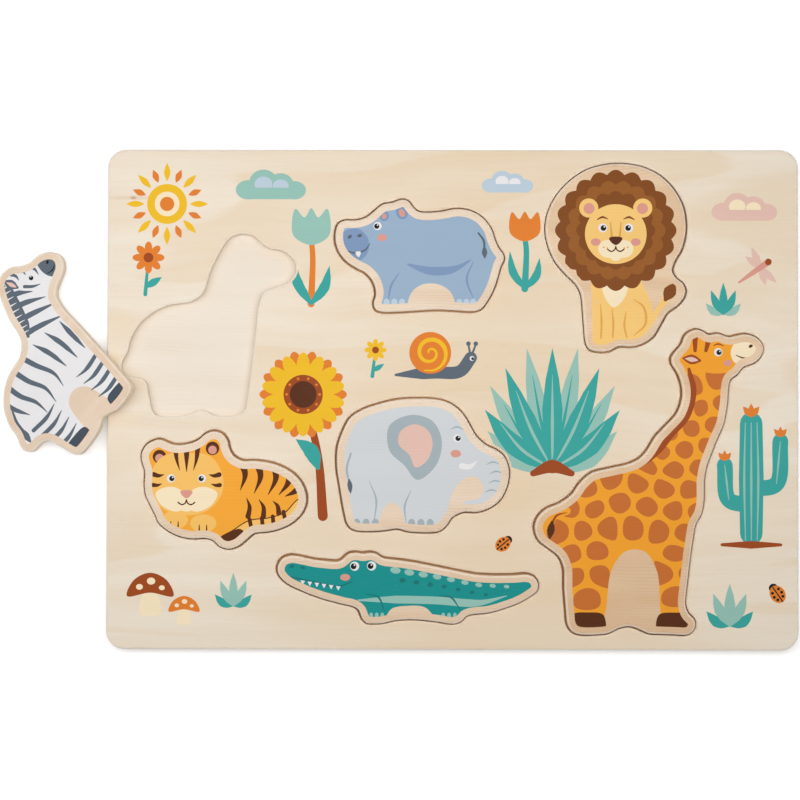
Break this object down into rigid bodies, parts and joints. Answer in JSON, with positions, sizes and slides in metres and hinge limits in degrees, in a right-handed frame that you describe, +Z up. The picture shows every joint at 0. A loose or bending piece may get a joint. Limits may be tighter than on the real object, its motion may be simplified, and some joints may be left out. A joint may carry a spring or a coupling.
{
  "type": "floor puzzle",
  "caption": "Wooden inset floor puzzle: a board with animal-shaped recesses and lift-out animal pieces, the zebra piece lying loose over the board's left edge.",
  "frame": {"origin": "centre of the board's underside, on the floor", "axes": "+X along the board's long side, +Y towards the top of the picture, +Z up out of the board"},
  "size_m": [0.5213, 0.3252, 0.0202],
  "materials": {
    "base_wood": "sanded plywood, clear matt lacquer",
    "board_wood": "sanded plywood with a satin print",
    "zebra_print": "sanded plywood with a satin print",
    "hippo_print": "sanded plywood with a satin print",
    "lion_print": "sanded plywood with a satin print",
    "tiger_print": "sanded plywood with a satin print",
    "elephant_print": "sanded plywood with a satin print",
    "crocodile_print": "sanded plywood with a satin print",
    "giraffe_print": "sanded plywood with a satin print"
  },
  "bodies": {
    "board": {"base_panel": "base_wood", "cutout_panel": "board_wood"},
    "zebra": {"zebra": "zebra_print"},
    "hippo": {"hippo": "hippo_print"},
    "lion": {"lion": "lion_print"},
    "tiger": {"tiger": "tiger_print"},
    "elephant": {"elephant": "elephant_print"},
    "crocodile": {"crocodile": "crocodile_print"},
    "giraffe": {"giraffe": "giraffe_print"}
  },
  "joints": [
    {"name": "zebra_lift", "type": "slide", "parent": "board", "child": "zebra", "axis": [0, 0, 1], "range_m": [0, 0.05]},
    {"name": "hippo_lift", "type": "slide", "parent": "board", "child": "hippo", "axis": [0, 0, 1], "range_m": [0, 0.05]},
    {"name": "lion_lift", "type": "slide", "parent": "board", "child": "lion", "axis": [0, 0, 1], "range_m": [0, 0.05]},
    {"name": "tiger_lift", "type": "slide", "parent": "board", "child": "tiger", "axis": [0, 0, 1], "range_m": [0, 0.05]},
    {"name": "elephant_lift", "type": "slide", "parent": "board", "child": "elephant", "axis": [0, 0, 1], "range_m": [0, 0.05]},
    {"name": "crocodile_lift", "type": "slide", "parent": "board", "child": "crocodile", "axis": [0, 0, 1], "range_m": [0, 0.05]},
    {"name": "giraffe_lift", "type": "slide", "parent": "board", "child": "giraffe", "axis": [0, 0, 1], "range_m": [0, 0.05]}
  ]
}
